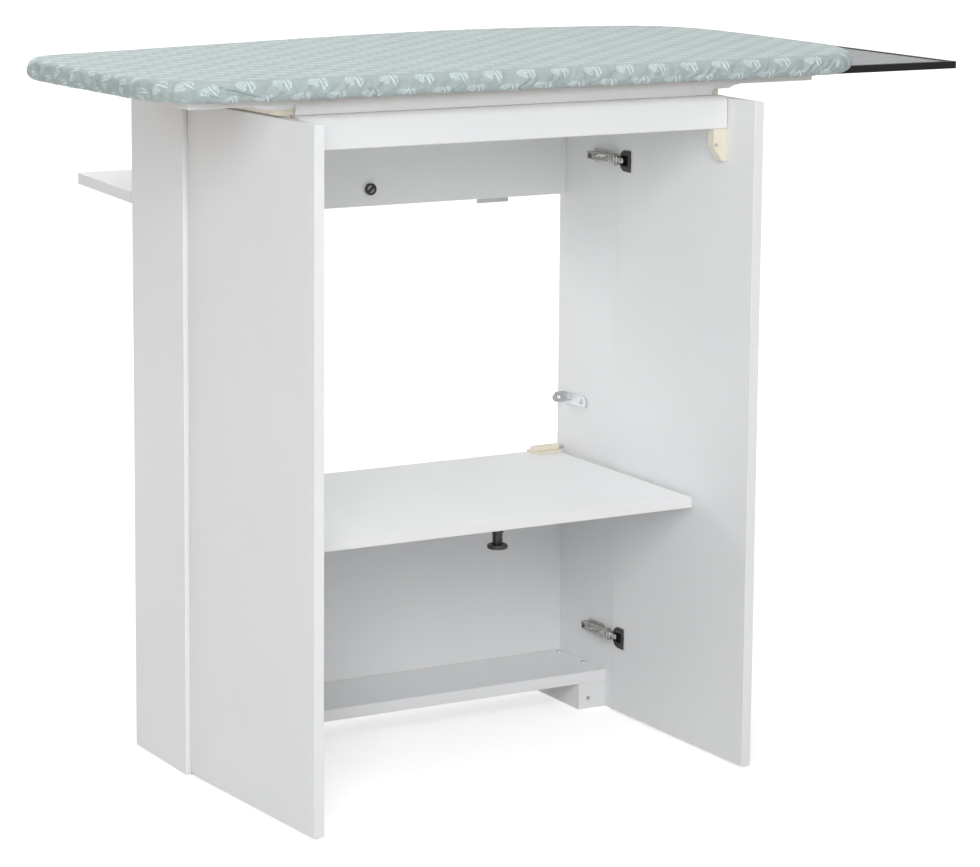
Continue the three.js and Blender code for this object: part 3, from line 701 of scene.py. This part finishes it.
def rounded(piece, radius, segments=3):
    """Sharp edges rounded, and smooth shading over what bends gently."""
    only(piece)
    soft = piece.modifiers.new("soft", "BEVEL")
    soft.width = radius
    soft.segments = segments
    soft.limit_method = "ANGLE"
    soft.angle_limit = math.radians(40)
    bpy.ops.object.modifier_apply(modifier=soft.name)
    bpy.ops.object.shade_smooth_by_angle(angle=math.radians(35))
    return piece


def joined(name, *parts):
    only(parts[0])
    for part in parts[1:]:
        part.select_set(True)
    bpy.ops.object.join()
    parts[0].name = name
    return parts[0]


# ---------------------------------------------------------------- hinges, knob, catch and beam

def make_hinge_arm(side, level):
    """A slim pressed arm on its plate, with two adjusting screws, two folded steps and a link into the cup.

    Its sizes are millimetres off the side panel, back from the arm's front end and up from its middle."""
    low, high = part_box(f"hinge_arm_{side}_{level}")
    wall, out = (high.x, -1) if side == "right" else (low.x, 1)
    middle = (low.z + high.z) / 2

    def at(away, along, up):
        return wall + out * away * MM, low.y + along * MM, middle + up * MM

    def screw(along):
        head = rod("screw", at(10.4, along, 0), at(12.6, along, 0), 3.5 * MM)
        shape(head, lambda centre, normal: out * normal.x > 0.9, (bpy.ops.mesh.inset, {"thickness": 0.5 * MM}))
        slots = [
            block("slot", at(11.8, along - 2.4, -0.45), at(13, along + 2.4, 0.45)),
            block("slot", at(11.8, along - 0.45, -2.4), at(13, along + 0.45, 2.4)),
        ]
        return carved(head, *slots)

    plate = rounded(block("plate", at(0, 26, -9), at(2.2, 66, 9)), 0.8 * MM)
    channel = block("channel", at(2, 12, -6.6), at(11.6, 72, 6.6))
    shape(
        channel, lambda centre, normal: normal.y > 0.9,
        (bpy.ops.transform.resize, {"value": (1, 1, 0.82), "center_override": at(0, 72, 0)}),
    )
    rounded(channel, 1.4 * MM)
    carved(
        channel,
        block("square_hole", at(7, 61, -3.2), at(14, 67.5, 3.2)),
        block("long_slot", at(8.6, 28, -1.5), at(14, 42, 1.5)),
    )
    steps = [
        rounded(block("step", at(1.4, 7.4, -7.2), at(12.6, 11.2, 7.2)), 0.9 * MM),
        rounded(block("step", at(2.2, 0.6, -6.8), at(12.9, 4.2, 6.8)), 0.9 * MM),
    ]
    neck = rounded(block("neck", at(3.2, -1.5, -5.4), at(9.8, 13, 5.4)), 0.8 * MM)
    link = rounded(block("link", at(3.6, -13, -3.4), at(7.4, 1, 3.4)), 1.2 * MM)
    arm = joined(f"slim_hinge_arm_{side}_{level}", channel, plate, *steps, neck, link, screw(20), screw(51.5))
    put(arm, "carcass", "nickel", f"hinge_arm_{side}_{level}")


def make_knob():
    """A flat black disc on a square, grooved stem with a collar under the shelf.

    Its sizes are millimetres from the stem's middle line and above the floor."""
    low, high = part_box("shelf_knob")
    x, y = (low.x + high.x) / 2, (low.y + high.y) / 2

    def at(across, along, height):
        return x + across * MM, y + along * MM, height * MM

    disc = rod("disc", at(0, 0, 303.4), at(0, 0, 309.2), 13.4 * MM, 72)
    rounded(disc, 2.2 * MM, 5)
    shape(
        disc, lambda centre, normal: abs(normal.z) > 0.99,
        (bpy.ops.mesh.inset, {"thickness": 1.6 * MM}),
        (bpy.ops.mesh.inset, {"thickness": 0.8 * MM, "depth": -0.7 * MM}),
    )
    stem = block("stem", at(-4.9, -4.9, 306), at(4.9, 4.9, 326.4))
    grooves = [block("groove", at(-0.8, side * 4.2, 305), at(0.8, side * 6, 323)) for side in (-1, 1)]
    grooves += [block("groove", at(side * 4.2, -0.8, 305), at(side * 6, 0.8, 323)) for side in (-1, 1)]
    carved(stem, *grooves)
    rounded(stem, 0.5 * MM, 2)
    collar = rounded(rod("collar", at(0, 0, 324.2), at(0, 0, 326.9), 7.6 * MM, 56), 0.7 * MM)
    put(joined("grooved_knob", disc, stem, collar), "knob", "black_plastic", "shelf_knob")


def make_catch():
    """A black ring and slanting grip over a pale face, on the back rail.

    Its sizes are millimetres across, out of the rail and up from its middle."""
    low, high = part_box("turn_catch")
    x, z = (low.x + high.x) / 2, (low.z + high.z) / 2

    def at(across, back, up):
        return x + across * MM, high.y - back * MM, z + up * MM

    ring = rod("ring", at(0, 0, 0), at(0, 4.4, 0), 8.1 * MM, 72)
    carved(ring, rod("middle", at(0, 1.6, 0), at(0, 6, 0), 5.5 * MM, 72))
    rounded(ring, 0.7 * MM)
    grip = block("grip", at(-6.4, 1, -1.7), at(6.4, 5.4, 1.7))
    shape(
        grip, lambda centre, normal: True,
        (
            bpy.ops.transform.rotate,
            {"value": math.radians(42), "orient_axis": "Y", "center_override": at(0, 0, 0)},
        ),
    )
    rounded(grip, 0.8 * MM)
    put(joined("catch_ring", ring, grip), "catch", "black_plastic", "turn_catch")
    face = rounded(rod("catch_face", at(0, 1.4, 0), at(0, 2.9, 0), 5.7 * MM, 56), 0.3 * MM, 2)
    put(face, "catch", "grey_plastic")


def make_beam_apron():
    """The board's front facing, which runs down to the rail and curves up at its right end."""
    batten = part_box("front_batten")
    rail_low, rail_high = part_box("front_rail")
    front, foot, head = batten[0].y - 0.8 * MM, rail_high.z + 0.4 * MM, batten[1].z - 0.2 * MM
    end = rail_high.x - 3 * MM
    facing = block("beam_apron", (rail_low.x + 1 * MM, front, foot), (end, front + 4 * MM, head))
    carved(facing, rod("cove", (end, front - 1 * MM, foot), (end, front + 5 * MM, foot), 12 * MM, 96))
    put(rounded(facing, 0.5 * MM, 2), "top", "white_board")


def make_block_screw(side):
    """The screw that holds a support block to its door."""
    low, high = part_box(f"support_block_{side}")
    x = (low.x + high.x) / 2 + (-6 if side == "right" else 6) * MM
    z = high.z - 21 * MM
    screw = rod("screw", (x, low.y + 1 * MM, z), (x, low.y - 0.8 * MM, z), 2.6 * MM, 40)
    rounded(screw, 0.5 * MM, 2)
    slot_low = (x - 1.8 * MM, low.y - 2 * MM, z - 0.4 * MM)
    slot_high = (x + 1.8 * MM, low.y - 0.2 * MM, z + 0.4 * MM)
    carved(screw, block("slot", slot_low, slot_high))
    screw.name = f"support_block_screw_{side}"
    put(screw, f"{side}_leaf", "zinc_steel")


# ---------------------------------------------------------------- camera, light and floor

def make_camera():
    data = bpy.data.cameras.new("camera")
    camera = bpy.data.objects.new("camera", data)
    bpy.context.scene.collection.objects.link(camera)
    turn = Matrix.Rotation(math.radians(CAMERA_YAW), 4, "Z")
    tilt = Matrix.Rotation(math.radians(90 + CAMERA_PITCH), 4, "X")
    roll = Matrix.Rotation(math.radians(CAMERA_ROLL), 4, "Z")
    camera.matrix_world = Matrix.Translation(CARCASS + CAMERA_PLACE) @ turn @ tilt @ roll
    data.lens = CAMERA_LENS
    data.sensor_width = 36
    data.shift_y = CAMERA_RISE
    data.clip_end = 100
    bpy.context.scene.camera = camera


def softbox(name, place, size, power):
    """A large soft lamp that faces the object's middle."""
    data = bpy.data.lights.new(name, "AREA")
    data.shape = "RECTANGLE"
    data.size, data.size_y = size
    data.energy = power
    lamp = bpy.data.objects.new(name, data)
    bpy.context.scene.collection.objects.link(lamp)
    lamp.location = Vector(place)
    lamp.rotation_mode = "QUATERNION"
    lamp.rotation_quaternion = (Vector(place) - Vector(LAMP_AIM)).to_track_quat("Z", "Y")


def make_light():
    softbox("front_softbox", (-1.9, -3.5, 2.3), (2.0, 1.9), KEY_POWER)
    softbox("rear_softbox", (-0.7, 3.0, 1.9), (1.8, 1.4), REAR_POWER)
    softbox("top_softbox", (0.0, -0.4, 3.6), (3.2, 3.2), TOP_POWER)
    world = bpy.data.worlds.new("studio")
    bpy.context.scene.world = world
    world.use_nodes = True
    tree = world.node_tree
    tree.nodes.clear()
    seen = plain_rays(tree)
    strength = between(tree, seen, SURROUND, 1.0, 0, 1)
    ground = add(tree, "Background", {"Color": (1, 1, 1, 1), "Strength": strength})
    out = add(tree, "OutputWorld")
    tree.links.new(ground.outputs[0], out.inputs[0])


def plain_rays(tree):
    """1 where the camera sees it, straight or in metal or glass."""
    path = add(tree, "LightPath")
    either = worked(tree, "MAXIMUM", path.outputs["Is Camera Ray"], path.outputs["Is Glossy Ray"])
    return worked(tree, "MAXIMUM", either, path.outputs["Is Transmission Ray"])


def make_floor():
    """A plain pale floor that runs out to white and keeps the shadow."""
    bpy.ops.mesh.primitive_plane_add(size=FLOOR_SIDE, location=(0, 0, 0))
    floor = bpy.context.object
    floor.name = "floor"
    material, tree, shader = new_finish("floor", 0.9)
    shader.inputs["Base Color"].default_value = (0.82, 0.82, 0.82, 1)
    shader.inputs["Specular IOR Level"].default_value = 0.1
    seen = plain_rays(tree)
    place = add(tree, "TexCoord").outputs["Object"]
    from_middle = add(tree, "VectorMath", {0: place}, operation="LENGTH").outputs["Value"]
    lift = worked(tree, "MULTIPLY", seen, between(tree, from_middle, FLOOR_LIFT, 1.0, FLOOR_NEAR, FLOOR_FAR))
    glow = add(tree, "Emission", {"Color": (1, 1, 1, 1), "Strength": lift})
    both = add(tree, "AddShader")
    tree.links.new(shader.outputs[0], both.inputs[0])
    tree.links.new(glow.outputs[0], both.inputs[1])
    tree.links.new(both.outputs[0], tree.nodes["Material Output"].inputs["Surface"])
    floor.data.materials.append(material)
    floor.select_set(False)


make_camera()
make_light()
make_floor()
finish_frame()
make_cover()
for door_side in ("left", "right"):
    for door_level in ("lower", "upper"):
        make_hinge_arm(door_side, door_level)
    make_block_screw(door_side)
make_knob()
make_catch()
make_beam_apron()

bpy.context.scene.view_settings.view_transform = "Standard"
